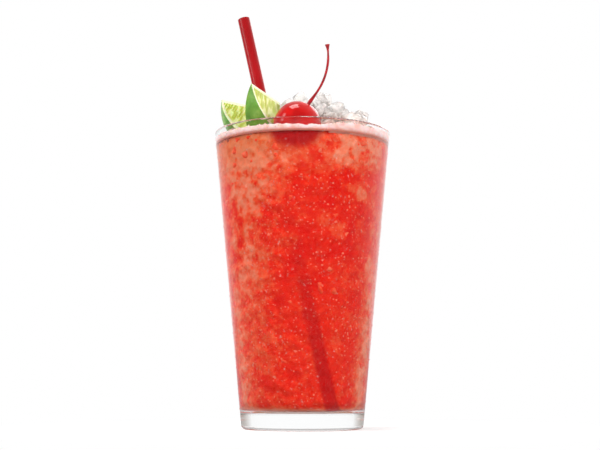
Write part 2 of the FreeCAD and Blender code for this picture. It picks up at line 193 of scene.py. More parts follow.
# %% [markdown]
# ## The drink
# Lemonade coloured with red syrup. It reaches half a millimetre into the glass wall, because a
# gap of air between the two would mirror like silver. Under the drink a thick overlap would show
# edge-on as a dark line, so there it is a hair. The section follows the rounded corner of the
# floor, measured with rays from the corner's middle. Two rows of points close to the ends of the
# long straight side keep its smooth shading straight. Without them the drink's top would look
# dark from above. At the level the surface climbs the wall a little, as water does on glass.
# Red syrup swallows green and blue light with depth: a millimetre takes a tenth of the green.
# Volume Absorption does just that.
# A lathe turns a section round the axis, as a glass blower or a potter does. Its rings of points
# are skinned with faces, and the helpers for that come first, since most shapes below use them.

# %% Turning a section
def make_mesh(name, points, faces, smooth=True):
    """A mesh object from points and faces."""
    mesh = bpy.data.meshes.new(name)
    mesh.from_pydata([tuple(p) for p in points], [], [tuple(f) for f in faces])
    mesh.validate()
    if smooth:
        mesh.shade_smooth()
    else:
        mesh.shade_flat()
    piece = bpy.data.objects.new(name, mesh)
    bpy.context.scene.collection.objects.link(piece)
    return piece


def ring_faces(rows, columns):
    """Faces of a grid whose columns close into a ring, and a lid over its first and last row."""
    faces = []
    for row in range(rows - 1):
        for column in range(columns):
            following = (column + 1) % columns
            a, b = row * columns + column, row * columns + following
            faces.append((a, b, b + columns, a + columns))
    last = (rows - 1) * columns
    faces.append(tuple(range(columns))[::-1])
    faces.append(tuple(range(last, last + columns)))
    return faces


def round_axis(radius, angle, z):
    """A point at a radius from the axis, an angle round it and a height."""
    return radius * math.cos(angle), radius * math.sin(angle), z


def lathe(name, section, columns=160):
    """Turns a section of (radius, height) points round Z. Its two ends close at the axis."""
    turn = np.linspace(0, 2 * math.pi, columns, endpoint=False)
    points = [round_axis(radius, angle, z) for radius, z in section for angle in turn]
    return make_mesh(name, points, ring_faces(len(section), columns))


def dress(piece, material, slot, *nodes):
    """Gives a piece its material and body, and the CAD nodes that it stands for. The slot is not
    used.
    """
    piece.data.materials.append(material)
    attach(piece, "root")
    if nodes:
        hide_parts(*nodes)
    print(f"{piece.name}: {len(piece.data.polygons)} faces of {material.name}")


print("two rings of 160 points take", len(ring_faces(2, 160)), "faces with their lids")

# %% The liquid
INTO_WALL = 0.5 * MM
INTO_FLOOR = 0.06 * MM
CLIMB = 0.4 * MM
CORNER_STEPS = 12
NEAR_AXIS = 0.2 * MM


def liquid_section():
    """The liquid's outline from the floor's middle to the level's middle."""
    section = [(NEAR_AXIS, FLOOR_Z - INTO_FLOOR)]
    middle = Vector((wall_at(FLOOR_Z), 0.0, FLOOR_Z + CORNER))
    for step in range(CORNER_STEPS + 1):
        turn = step / CORNER_STEPS * math.pi / 2
        outwards = Vector((math.sin(turn), 0.0, -math.cos(turn)))
        hit = glass_bvh.ray_cast(middle, outwards)[0]
        reach = INTO_FLOOR + (INTO_WALL - INTO_FLOOR) * (step / CORNER_STEPS) ** 2
        corner = hit + outwards * reach
        section.append((corner.x, corner.z))
    for z in (FLOOR_Z + CORNER + 3 * MM, LEVEL_Z - 1 * MM, LEVEL_Z + CLIMB):
        section.append((wall_at(z) + INTO_WALL, z))
    section.append((wall_at(LEVEL_Z) - 0.4 * MM, LEVEL_Z + 0.1 * MM))
    section.append((wall_at(LEVEL_Z) - 1.5 * MM, LEVEL_Z - 0.1 * MM))
    section.append((NEAR_AXIS, LEVEL_Z - 0.1 * MM))
    return section


syrup_lemonade, tree = new_finish("red_syrup_lemonade")
shader = add(
    tree,
    "BsdfPrincipled",
    {
        "Base Color": srgb("#ffffff"),
        "Roughness": 0.0,
        "IOR": 1.34,
        "Specular Tint": srgb("#595959"),
        "Transmission Weight": 1.0,
    },
)
absorption = add(tree, "VolumeAbsorption", {"Color": srgb("#fc7927"), "Density": 130.0})
surface = let_lamps_through(tree, shader, srgb("#ffffff"))
add(tree, "OutputMaterial", {"Surface": surface, "Volume": absorption})
dress(lathe("lemonade", liquid_section()), syrup_lemonade, "drink", "drink")

# %% [markdown]
# ## Slush inside the drink
# The tumbler was packed with crushed ice before the drink was poured, so what the eye meets
# behind the glass is slush. It is cloudy, so the straw and the garnish that are sunk in it show
# only as soft stains, weaker the deeper they are. This step finds where they stand.

# %% Where the straw and the garnish are
LIMES = ("lime_front_wedge", "lime_left_wedge")
GARNISH = ("cherry", *LIMES)
garnish_bvhs = {node: bvh_of(node) for node in (*GARNISH, "straw", "cherry_stem")}
straw_points = np.array([v.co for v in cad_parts["straw"].data.vertices])
straw_middle = straw_points.mean(axis=0)
straw_axis = np.linalg.svd(straw_points - straw_middle, full_matrices=False)[2][0]
straw_axis = straw_axis / straw_axis[2]
STRAW_RADIUS = 3.2 * MM


def straw_at(z):
    """The straw's axis, as (x, y), at a height."""
    point = straw_middle + straw_axis * (z - straw_middle[2])
    return point[0], point[1]


def behind_garnish(angle, z, radius, room):
    """The radius that stays behind whatever garnish stands at this angle and height."""
    outwards = Vector((math.cos(angle), math.sin(angle), 0))
    for node in GARNISH:
        for lift in (-room, 0.0, room):
            hit = garnish_bvhs[node].ray_cast(Vector((0, 0, z + lift)), outwards, radius + room)
            if hit[0] is not None:
                radius = min(radius, max(hit[3] - room, 2 * MM))
    return radius


print("straw foot", [round(c / MM, 1) for c in straw_at(FLOOR_Z)])

# %% [markdown]
# Where the imported lumps press on the glass, they show paler than the red drink between them. Two
# sizes of cloud and two sizes of lump make that pattern, livelier towards the top, where the ice
# floats. The floor is frosty, and larger patches are listed. A patch has its middle in degrees
# round from the front and millimetres up, how wide and tall it is, and its gain of ice. The three
# narrow patches near the sides, two low down and one halfway up at the right, paint light instead:
# pale bands where the white room shows through the glass wall's edge.

# %% Where pale ice and painted side light show
CLOUD = 15 * MM
WISP = 4.5 * MM
BIG_LUMP = 7.5 * MM
SMALL_LUMP = 3.2 * MM
FLOOR_FROST = 2.2 * MM
MOST_PALE_SHARE = 0.92
PATCHES = (
    {"turn": -58, "wide": 30, "height": 92, "tall": 60, "gain": 0.46},
    {"turn": -45, "wide": 34, "height": 133, "tall": 16, "gain": 0.80},
    {"turn": -70, "wide": 14, "height": 125, "tall": 38, "gain": -0.25},
    {"turn": 44, "wide": 28, "height": 139, "tall": 12, "gain": 0.90},
    {"turn": 66, "wide": 14, "height": 122, "tall": 10, "gain": -0.25},
    # painted light: a pale band low at the right side, where the white room shows through the wall's
    # edge
    {"turn": 70, "wide": 11, "height": 22, "tall": 52, "gain": 0.75},
    # painted light: the same pale band low at the left side
    {"turn": -70, "wide": 10, "height": 20, "tall": 34, "gain": 0.60},
    # painted light: the pale band halfway up the right side
    {"turn": 78, "wide": 16, "height": 80, "tall": 50, "gain": 0.22},
    {"turn": 8, "wide": 26, "height": 85, "tall": 60, "gain": -0.16},
    {"turn": 150, "wide": 40, "height": 100, "tall": 40, "gain": 0.25},
)


def smooth_step(value, low, high):
    """0 below low, 1 above high and a soft S between."""
    share = min(max((value - low) / (high - low), 0.0), 1.0)
    return share * share * (3 - 2 * share)


def lump_tone(place):
    """A tone of its own for each lump of ice in the slush, fading out where two lumps meet."""
    distances, middles = noise.voronoi(place)[:2]
    inside = smooth_step(distances[1] - distances[0], 0.0, 0.35)
    return inside * noise.noise(middles[0] * 5.3)


def ice_and_side_light_share(point, angle):
    """How much pale ice, and painted light at the sides, shows at a place on the wall, from 0 to 1.
    """
    clouds = noise.fractal(point / CLOUD, 0.6, 2.0, 3)
    wisps = noise.fractal(point / WISP, 0.5, 2.0, 3)
    lively = 0.45 + 0.55 * smooth_step(point.z, 45 * MM, 110 * MM)
    share = 0.30 + lively * (0.26 * clouds + 0.12 * wisps)
    share += lively * (0.55 * lump_tone(point / BIG_LUMP) + 0.22 * lump_tone(point / SMALL_LUMP))
    share += 0.8 * math.exp(-(((point.z - FLOOR_Z) / FLOOR_FROST) ** 2))
    turn = (math.degrees(angle) + 90 + 180) % 360 - 180
    for patch in PATCHES:
        across = (turn - patch["turn"]) / patch["wide"]
        up = (point.z / MM - patch["height"]) / patch["tall"]
        share += patch["gain"] * (0.8 + 0.7 * wisps) * math.exp(-(across**2) - up**2)
    return min(max(share, 0.0), MOST_PALE_SHARE)


print("pale patches placed by hand:", len(PATCHES))

# %% [markdown]
# The slush itself is a grid of points round the axis, from the floor to just under the level,
# whose skin waves a little. Each point keeps four numbers for its colour: how much pale ice shows
# there, with painted light in bands at the sides, and how much of the straw, of the cherry and of
# the limes. A stain is full where its piece is nearer to the skin than one distance, and gone where
# it is farther than another.

# %% The imported slush
SLUSH_ROWS = 200
SLUSH_COLUMNS = 420
SLUSH_SKIN = 0.6 * MM
SLUSH_WAVE = 1.6 * MM
SLUSH_TOP = LEVEL_Z - 0.3 * MM
SLUSH_BOTTOM = FLOOR_Z + 0.05 * MM
WAVE_LENGTH = 5 * MM
STRAW_FADES = (14 * MM, 40 * MM)
CHERRY_FADES = (3 * MM, 7 * MM)
LIMES_FADE = (6 * MM, 29 * MM)


def keep_numbers(piece, name, values):
    """Keeps one number for each point of a piece, for its material to read."""
    piece.data.attributes.new(name, "FLOAT", "POINT").data.foreach_set("value", values)


def straw_share(x, y, z):
    """How much of the straw shows through the slush at a point on its skin."""
    straw_x, straw_y = straw_at(z)
    deep = straw_y - y
    if deep < 0:
        return 0.0
    soft = (0.3 + 0.06 * deep / MM) * MM
    across = 1 - smooth_step(abs(x - straw_x), STRAW_RADIUS - soft, STRAW_RADIUS + soft)
    return across * (1 - smooth_step(deep, *STRAW_FADES))


def stain(point, fades, *nodes):
    """How much of some sunk garnish shows at a point: all up to the distance where it fades."""
    full, reach = fades
    nearest = reach
    for node in nodes:
        found = garnish_bvhs[node].find_nearest(point, reach)
        if found[0] is not None:
            nearest = min(nearest, found[3])
    return 1 - smooth_step(nearest, full, reach)


def slush_grid():
    """The points of the slush's skin, row by row, and four numbers for each."""
    points, numbers = [], {"ice_and_side_light_share": [], "straw_share": [], "cherry_share": [], "lime_share": []}
    for row in range(SLUSH_ROWS):
        z = SLUSH_BOTTOM + (SLUSH_TOP - SLUSH_BOTTOM) * row / (SLUSH_ROWS - 1)
        wall = wall_at(z) - SLUSH_SKIN
        for column in range(SLUSH_COLUMNS):
            angle = 2 * math.pi * column / SLUSH_COLUMNS
            at_wall = Vector(round_axis(wall, angle, z))
            wave = 0.5 + 0.5 * noise.fractal(at_wall / WAVE_LENGTH, 0.7, 2.0, 3)
            skin = round_axis(wall - SLUSH_WAVE * min(max(wave, 0.0), 1.0), angle, z)
            points.append(skin)
            numbers["ice_and_side_light_share"].append(ice_and_side_light_share(at_wall, angle))
            numbers["straw_share"].append(straw_share(*skin))
            numbers["cherry_share"].append(stain(Vector(skin), CHERRY_FADES, "cherry"))
            numbers["lime_share"].append(stain(Vector(skin), LIMES_FADE, *LIMES))
    return points, numbers


points, numbers = slush_grid()
slush = make_mesh("slush", points, ring_faces(SLUSH_ROWS, SLUSH_COLUMNS))
for name, values in numbers.items():
    keep_numbers(slush, name, values)
    print(f"{name}: {min(values):.2f} to {max(values):.2f}")

# %% [markdown]
# The slush is crushed ice soaked in red drink. It is cloudy and scatters light like wet snow,
# with hardly any gloss of its own under the liquid. Its grain is 1.6 mm, the size of the small
# chips. Ragged specks, a millimetre or three apart, are single chips and bubbles against the
# glass. The straw, the limes and the cherry stain it where they stand close behind its skin.
# A Mix node has inputs for several kinds of data. Where it mixes colours, the share is input 0,
# the colours are inputs 6 and 7, and the result is output 2.

# %% Soaked crushed ice
SHARE, FIRST, SECOND = 0, 6, 7
MIXED = 2

soaked_ice, tree = new_finish("soaked_crushed_ice")
coords = add(tree, "TexCoord").outputs["Object"]
grain = add(
    tree,
    "TexNoise",
    {"Scale": 1 / (1.6 * MM), "Detail": 4.0, "Roughness": 0.7, "Vector": coords},
)
ice_and_side_light_here = add(tree, "Attribute", attribute_name="ice_and_side_light_share").outputs["Fac"]
uneven = add(tree, "Math", {0: grain, 1: 0.5}, operation="SUBTRACT")
paleness = add(tree, "Math", {0: uneven, 1: 0.9, 2: ice_and_side_light_here}, operation="MULTIPLY_ADD")
slush_colour = add(
    tree,
    "ValToRGB",
    {"Fac": paleness},
    stops=(
        (0.0, srgb("#e81c0b")),
        (0.3, srgb("#f03619")),
        (0.6, srgb("#f67448")),
        (1.0, srgb("#f8b896")),
    ),
)
fine_grain = add(
    tree,
    "TexNoise",
    {"Scale": 1 / (0.6 * MM), "Detail": 2.0, "Roughness": 0.55, "Vector": coords},
)


def specks(pitch, widest):
    """Ragged specks, one in every second cell, up to a share of the cell's pitch wide."""
    cells = add(tree, "TexVoronoi", {"Scale": 1 / pitch, "Vector": coords})
    cell_size = add(tree, "SeparateColor", {0: cells.outputs["Color"]})
    room = add(
        tree,
        "Math",
        {0: cell_size, 1: widest, 2: 0.25 - 0.5 * widest},
        operation="MULTIPLY_ADD",
    )
    ragged = add(
        tree,
        "Math",
        {0: fine_grain, 1: 0.5, 2: cells.outputs["Distance"]},
        operation="MULTIPLY_ADD",
    )
    return add(tree, "Math", {0: ragged, 1: room}, operation="LESS_THAN")


some_speck = add(
    tree, "Math", {0: specks(1.3 * MM, 0.7), 1: specks(3.1 * MM, 0.42)}, operation="MAXIMUM"
)
STAINS = (
    (some_speck, 0.5, "#ffc4a4"),
    (add(tree, "Attribute", attribute_name="straw_share").outputs["Fac"], 0.92, "#c80e10"),
    (add(tree, "Attribute", attribute_name="lime_share").outputs["Fac"], 0.75, "#e29c5c"),
    (add(tree, "Attribute", attribute_name="cherry_share").outputs["Fac"], 1.0, "#b80c12"),
)
for where, strongest, code in STAINS:
    share = add(tree, "Math", {0: where, 1: strongest}, operation="MULTIPLY")
    stained = add(
        tree,
        "Mix",
        {SHARE: share, FIRST: slush_colour, SECOND: srgb(code)},
        data_type="RGBA",
    )
    slush_colour = stained.outputs[MIXED]
shader = add(
    tree,
    "BsdfPrincipled",
    {"Roughness": 0.6, "Specular IOR Level": 0.1, "Base Color": slush_colour},
)
add(tree, "OutputMaterial", {"Surface": shader})
dress(slush, soaked_ice, "drink")

# %% [markdown]
# ## Crushed ice
# One lump is what a hammer leaves: a few flat breaks that meet at blunt, wet edges. The convex
# hull of fourteen random points is such a shape. A bevel melts its edges, and the small chips
# stay sharp. Ten lumps and ten chips are made once. Each heap below is one mesh of many turned
# and scaled copies of them.

# %% Ten broken lumps and ten sharp chips
HULL_POINTS = 14
LUMP_RADIUS = 0.54
MELTED_EDGE = 0.05


def broken_lump(chance, rounding):
    """One lump about a unit across, as arrays of points and faces."""
    shape = bmesh.new()
    for _ in range(HULL_POINTS):
        direction = Vector([chance.gauss(0, 1) for _ in range(3)]).normalized()
        stretch = Vector((1.0, chance.uniform(0.8, 1.0), chance.uniform(0.7, 1.0)))
        shape.verts.new(direction * LUMP_RADIUS * stretch * chance.uniform(0.85, 1.0))
    bmesh.ops.convex_hull(shape, input=shape.verts)
    loose = [v for v in shape.verts if not v.link_faces]
    bmesh.ops.delete(shape, geom=loose, context="VERTS")
    mesh = bpy.data.meshes.new("lump")
    shape.to_mesh(mesh)
    shape.free()
    lump = bpy.data.objects.new("lump", mesh)
    bpy.context.scene.collection.objects.link(lump)
    if rounding:
        melt = lump.modifiers.new("melted_edges", "BEVEL")
        melt.width = MELTED_EDGE
        melt.segments = rounding
    lump.modifiers.new("triangles", "TRIANGULATE")
    done = lump.evaluated_get(bpy.context.evaluated_depsgraph_get()).to_mesh()
    points = np.array([v.co for v in done.vertices])
    faces = np.array([list(p.vertices) for p in done.polygons])
    bpy.data.objects.remove(lump)
    return points, faces


chance = random.Random(5)
LUMPS = [broken_lump(chance, 2) for _ in range(10)]
CHIPS = [broken_lump(chance, 0) for _ in range(10)]
print("faces in each lump:", [len(faces) for _, faces in LUMPS])


def scatter(name, places, shapes, chance, smooth=True):
    """One mesh of many shapes: places are (centre, size), each given its own turn."""
    all_points, all_faces, count = [], [], 0
    for centre, size in places:
        points, faces = shapes[chance.randrange(len(shapes))]
        axis = Vector([chance.gauss(0, 1) for _ in range(3)]).normalized()
        turn = np.array(Matrix.Rotation(chance.uniform(0, 2 * math.pi), 3, axis))
        all_points.append(points @ turn.T * size + np.array(centre))
        all_faces.append(faces + count)
        count += len(points)
    return make_mesh(name, np.vstack(all_points), np.vstack(all_faces).tolist(), smooth)


def clear_of_garnish(centre, room):
    """True if nothing that stands in the drink is nearer than room. Thin things need less."""
    for node, garnish_bvh in garnish_bvhs.items():
        need = room * (0.5 if node in ("straw", "cherry_stem") else 1.0)
        if garnish_bvh.find_nearest(Vector(centre), need)[0] is not None:
            return False
    return True


# %% [markdown]
# Some lumps keep their shape under the drink. They lean on the wall, mostly in the upper part
# where ice floats up, half sunk in the slush. The drink tints them, and their veins show paler.

# %% Ice sunk in the drink
SUNK_COUNT = 170


def sunk_places(chance):
    """Centres a little behind the wall, and sizes."""
    places = []
    while len(places) < SUNK_COUNT:
        z = LEVEL_Z - 2 * MM - (LEVEL_Z - FLOOR_Z - 10 * MM) * chance.random() ** 2.2
        angle = chance.uniform(0, 2 * math.pi)
        size = chance.uniform(3.5, 8.5) * MM
        centre = round_axis(wall_at(z) - 0.45 * size - chance.uniform(0.3, 1.6) * MM, angle, z)
        in_front_of_straw = abs(centre[0] - straw_at(z)[0]) < 6 * MM and centre[1] < 0
        hides_straw = in_front_of_straw and z < 95 * MM
        if not hides_straw and clear_of_garnish(centre, 0.5 * size):
            places.append((centre, size))
    return places


chance = random.Random(21)
sunk = scatter("sunk_ice", sunk_places(chance), LUMPS, chance)

tinted_ice, tree = new_finish("ice_tinted_by_drink")
coords = add(tree, "TexCoord").outputs["Object"]
veins = add(
    tree,
    "TexNoise",
    {"Scale": 1 / (3.5 * MM), "Detail": 3.0, "Roughness": 0.55, "Vector": coords},
)
tinted = add(
    tree,
    "ValToRGB",
    {"Fac": veins},
    stops=((0.35, srgb("#f8502e")), (0.55, srgb("#fb7c56")), (0.72, srgb("#ffa88a"))),
)
shader = add(
    tree,
    "BsdfPrincipled",
    {"Roughness": 0.4, "IOR": 1.31, "Specular IOR Level": 0.3, "Base Color": tinted},
)
add(tree, "OutputMaterial", {"Surface": shader})
dress(sunk, tinted_ice, "drink")

# %% [markdown]
# ## The heap of ice above the rim
# The CAD heap is one solid out to its uneven outline. Here it becomes the real thing: rays are
# cast down on it to find its peaks, and each peak gets one big lump. Smaller lumps fill the
# places between, in rows that lie like packed balls, shaken a little. A pale core under them
# stops the eye from looking through to nothing.

# %% Lumps on the heap
heap_bvh = bvh_of("ice_heap")
ABOVE_ALL = 0.3
PEAK_STEP = 1.0 * MM
PEAK_ROOM = 4
FILL_PITCH = 5.6 * MM
ROW_STEP = 0.87
BIG_LUMP_SUNK = 0.40
SMALL_LUMP_SUNK = 0.62
LUMP_CLEARANCE = 0.36
HALF_LUMP = 0.45


def heap_top(x, y):
    """The height of the CAD heap at a place, or None outside it."""
    hit = heap_bvh.ray_cast(Vector((x, y, ABOVE_ALL)), Vector((0, 0, -1)))[0]
    return None if hit is None else hit.z


def heap_peaks():
    """Places where the CAD heap is higher than all round."""
    steps = int(HIGH_RADIUS / PEAK_STEP)
    size = 2 * steps + 1
    heights = np.zeros((size, size))
    for i in range(size):
        for j in range(size):
            heights[i, j] = heap_top((i - steps) * PEAK_STEP, (j - steps) * PEAK_STEP) or 0
    peaks = []
    for i in range(PEAK_ROOM, size - PEAK_ROOM):
        for j in range(PEAK_ROOM, size - PEAK_ROOM):
            around = heights[i - PEAK_ROOM : i + PEAK_ROOM + 1, j - PEAK_ROOM : j + PEAK_ROOM + 1]
            if heights[i, j] > LEVEL_Z and heights[i, j] >= around.max():
                peaks.append(((i - steps) * PEAK_STEP, (j - steps) * PEAK_STEP, heights[i, j]))
    return peaks


def clear_of_wall(x, y, size):
    """True if a lump of that size has room between its middle and the wall."""
    return math.hypot(x, y) < HIGH_RADIUS - HALF_LUMP * size


def sinks_at_wall(centre, size):
    """True if a lump near the wall would reach down into the drink in front of the slush."""
    near_wall = math.hypot(centre[0], centre[1]) > HIGH_RADIUS - 1.3 * size
    return near_wall and centre[2] < LEVEL_Z + HALF_LUMP * size


def heap_places(chance):
    """A big lump at each peak, then smaller ones in between."""
    places = []
    for x, y, top in heap_peaks():
        size = chance.uniform(9.8, 12.0) * MM
        centre = (x, y, top - BIG_LUMP_SUNK * size)
        if clear_of_wall(x, y, size) and clear_of_garnish(centre, LUMP_CLEARANCE * size):
            places.append((centre, size))
    print("big lumps:", len(places))
    steps = int(HIGH_RADIUS / FILL_PITCH) + 1
    for row in range(-steps, steps + 1):
        for column in range(-steps, steps + 1):
            x = (column + 0.5 * (row % 2) + chance.uniform(-0.25, 0.25)) * FILL_PITCH
            y = (row * ROW_STEP + chance.uniform(-0.25, 0.25)) * FILL_PITCH
            size = chance.uniform(6.0, 9.0) * MM
            top = heap_top(x, y)
            if top is None or not clear_of_wall(x, y, size):
                continue
            centre = (x, y, top - SMALL_LUMP_SUNK * size)
            if centre[2] < LEVEL_Z - 1 * MM or sinks_at_wall(centre, size):
                continue
            if clear_of_garnish(centre, LUMP_CLEARANCE * size):
                places.append((centre, size))
    return places


chance = random.Random(8)
heap = scatter("crushed_ice", heap_places(chance), LUMPS, chance)

# %% [markdown]
# Crushed bar ice is clear inside, with cloudy cracks, and wet outside. Its IOR is 1.31. Cracks
# scatter light, so the noise that draws them also takes the transmission down to a quarter
# there. Drink climbs between the lumps and tints the low ones pink.

# %% Wet crushed ice
TINTED_UP_TO = 16 * MM

wet_ice, tree = new_finish("wet_crushed_ice")
coords = add(tree, "TexCoord").outputs["Object"]
cracks = add(
    tree,
    "TexNoise",
    {"Scale": 1 / (5 * MM), "Detail": 5.0, "Roughness": 0.65, "Vector": coords},
)
clearness = add(
    tree,
    "ValToRGB",
    {"Fac": cracks},
    stops=((0.38, (0.8, 0.8, 0.8, 1)), (0.6, (0.25, 0.25, 0.25, 1))),
)
bump = add(tree, "Bump", {"Strength": 0.12, "Distance": 0.4 * MM, "Height": cracks})
height = add(tree, "SeparateXYZ", {0: coords}).outputs["Z"]
over_level = add(tree, "Math", {0: height, 1: LEVEL_Z}, operation="SUBTRACT")
soaked = add(
    tree,
    "ValToRGB",
    {"Fac": add(tree, "Math", {0: over_level, 1: 1 / TINTED_UP_TO}, operation="MULTIPLY")},
    stops=(
        (0.0, srgb("#f4b8a4")),
        (0.25, srgb("#f9dccf")),
        (0.6, srgb("#fdf3ec")),
        (1.0, srgb("#fefaf7")),
    ),
)
shader = add(
    tree,
    "BsdfPrincipled",
    {
        "Roughness": 0.12,
        "IOR": 1.31,
        "Base Color": soaked,
        "Transmission Weight": clearness,
        "Normal": bump,
    },
)
add(tree, "OutputMaterial", {"Surface": shader})
dress(heap, wet_ice, "ice", "ice_heap")

# %% [markdown]
# The core is chips packed as dense as snow. It follows the CAD heap from below, under the lumps,
# keeps behind the garnish, and banks up a little at the wall.

# %% The core under the lumps
CORE_SINK = 8.5 * MM
CORE_RADIUS = HIGH_RADIUS - 0.9 * MM
CORE_BANK = 1.6 * MM
CORE_ROOM = 0.8 * MM
CORE_RINGS = 20
CORE_COLUMNS = 180
CORE_TURNS = [2 * math.pi * column / CORE_COLUMNS for column in range(CORE_COLUMNS)]


def heap_core_points():
    """A low mound under the lumps, from its middle to the wall, then its flat underside."""
    points = []
    for ring in range(CORE_RINGS):
        radius = CORE_RADIUS * (ring + 0.05) / (CORE_RINGS - 1 + 0.05)
        bank = LEVEL_Z + CORE_BANK * (radius / CORE_RADIUS) ** 4
        for angle in CORE_TURNS:
            near = behind_garnish(angle, LEVEL_Z + 1 * MM, radius, CORE_ROOM)
            x, y, _ = round_axis(near, angle, 0)
            around = ((0, 0), (5, 0), (-5, 0), (0, 5), (0, -5))
            spread = [heap_top(x + dx * MM, y + dy * MM) for dx, dy in around]
            tops = [t for t in spread if t is not None] or [LEVEL_Z]
            points.append((x, y, max(min(tops) - CORE_SINK, bank)))
    under = LEVEL_Z - 1.0 * MM
    for angle in CORE_TURNS:
        points.append(round_axis(behind_garnish(angle, under, CORE_RADIUS, CORE_ROOM), angle, under))
    return points


ice_core = make_mesh("ice_core", heap_core_points(), ring_faces(CORE_RINGS + 1, CORE_COLUMNS))

packed_chips, tree = new_finish("packed_ice_chips")
coords = add(tree, "TexCoord").outputs["Object"]
chips = add(tree, "TexNoise", {"Scale": 1 / (2.5 * MM), "Detail": 3.0, "Vector": coords})
height = add(tree, "SeparateXYZ", {0: coords}).outputs["Z"]
over_level = add(
    tree, "MapRange", {"From Min": LEVEL_Z, "From Max": LEVEL_Z + 14 * MM, "Value": height}
)
core_tint = add(
    tree,
    "ValToRGB",
    {"Fac": over_level},
    stops=((0.0, srgb("#f2b4a2")), (0.4, srgb("#f8ddd2")), (1.0, srgb("#f8efe8"))),
)
bump = add(tree, "Bump", {"Strength": 0.8, "Distance": 0.8 * MM, "Height": chips})
shader = add(tree, "BsdfPrincipled", {"Roughness": 0.4, "Base Color": core_tint, "Normal": bump})
add(tree, "OutputMaterial", {"Surface": shader})
dress(ice_core, packed_chips, "ice")

# %% [markdown]
# The smallest chips float up and gather along the wall in a frosty ring a few millimetres high.
# They are crushed through and hold pink drink between them, so they scatter nearly all light.
# Just above the level the drink has not drained from them yet, and they are redder there.

# %% The frosty ring
RING_COUNT = 1500
DRAINED_FROM = 1.3 * MM


def froth_height(angle):
    """How far the froth climbs the wall: least in front of the cherry, uneven all round."""
    way = Vector((math.cos(angle), math.sin(angle), 0))
    slow = noise.noise(way * 2.5)
    quick = noise.fractal(way * 14, 0.7, 2.0, 3)
    near_cherry = math.exp(-((way.x / 0.32) ** 2)) if way.y < 0 else 0.0
    away = smooth_step(way.x, 0.2, 0.6)
    return (3.0 - 0.9 * near_cherry + 1.0 * away + 0.6 * slow + 0.6 * quick) * MM


def ring_places(chance):
    """Small chips along the wall, from just over the level to the top of the froth."""
    places = []
    while len(places) < RING_COUNT:
        size = (0.5 + 1.4 * chance.random() ** 2.5) * MM
        angle = chance.uniform(0, 2 * math.pi)
        z = LEVEL_Z + (0.2 + chance.random() ** 0.7) * froth_height(angle)
        inwards = 0.5 * size + (0.4 + chance.random() ** 2 * 2.5) * MM
        centre = round_axis(wall_at(z) - inwards, angle, z)
        if clear_of_garnish(centre, 0.35 * size):
            places.append((centre, size))
    return places


chance = random.Random(13)
ring = scatter("frosty_ring", ring_places(chance), CHIPS, chance, smooth=False)

frosty, tree = new_finish("frosty_ice_chips")
coords = add(tree, "TexCoord").outputs["Object"]
frost = add(
    tree,
    "TexNoise",
    {"Scale": 1 / (4 * MM), "Detail": 3.0, "Roughness": 0.55, "Vector": coords},
)
frost_tone = add(
    tree,
    "ValToRGB",
    {"Fac": frost},
    stops=((0.35, srgb("#e8b4aa")), (0.5, srgb("#eccac6")), (0.7, srgb("#f3e2e2"))),
)
height = add(tree, "SeparateXYZ", {0: coords}).outputs["Z"]
drained = add(
    tree,
    "MapRange",
    {"From Min": LEVEL_Z, "From Max": LEVEL_Z + DRAINED_FROM, "Value": height},
)
froth_tone = add(
    tree,
    "Mix",
    {SHARE: drained, FIRST: srgb("#f4a08c"), SECOND: frost_tone},
    data_type="RGBA",
).outputs[MIXED]
shader = add(
    tree,
    "BsdfPrincipled",
    {
        "Roughness": 0.45,
        "IOR": 1.31,
        "Subsurface Weight": 0.3,
        "Subsurface Scale": 1.5 * MM,
        "Base Color": froth_tone,
    },
)
add(tree, "OutputMaterial", {"Surface": shader})
dress(ring, frosty, "ice")

# %% [markdown]
# The froth itself is a thin collar with an uneven top that clings to the wall. It reaches a
# little into the glass, so that no gap shows between the two where the wall turns edge-on. Each
# row of its section says how far inside the wall it is, whether it follows the froth's height,
# and how much it is lifted, in millimetres.

# %% The froth behind the chips
COLLAR_COLUMNS = 420
COLLAR_SECTION = ((1.1, 0, -0.5), (-0.3, 0, -0.5), (-0.3, 1, 0.0), (0.3, 1, 0.3), (1.1, 1, 0.0))


def collar_points():
    """Rows of points round the collar's section, from its inner foot over its top."""
    points = []
    for inside, follows, lift in COLLAR_SECTION:
        for column in range(COLLAR_COLUMNS):
            angle = 2 * math.pi * column / COLLAR_COLUMNS
            z = LEVEL_Z + follows * froth_height(angle) + lift * MM
            points.append(round_axis(wall_at(z) - inside * MM, angle, z))
    return points


def collar_faces():
    """A ring without lids, closed from its last row to its first."""
    faces = ring_faces(len(COLLAR_SECTION), COLLAR_COLUMNS)[:-2]
    last = (len(COLLAR_SECTION) - 1) * COLLAR_COLUMNS
    for column in range(COLLAR_COLUMNS):
        following = (column + 1) % COLLAR_COLUMNS
        faces.append((last + column, last + following, following, column))
    return faces


dress(make_mesh("froth_collar", collar_points(), collar_faces()), frosty, "ice")

# %% [markdown]
# ## The lime wedges
# A wedge is a sector of a lime. Its core's direction has a swing round the vertical and a rise,
# and the sector is rolled round the core. The tip is where the core ends, and the cut is how far
# from the lime's middle the wedge is cut off square, both in millimetres.

# %% How the wedges lie
LIME_HALF = 27.0 * MM
LIME_RADIUS = 25.5 * MM
WEDGE_SPREAD = math.radians(42)
WEDGES = {
    "front": {"cut": 5.6, "tip": (-25.2, -20.5, 170.3), "swing": 48.0, "rise": 17.9, "roll": 24.1},
    "left": {"cut": 9.0, "tip": (-41.1, -1.0, 166.3), "swing": 11.0, "rise": 9.7, "roll": 33.0},
}


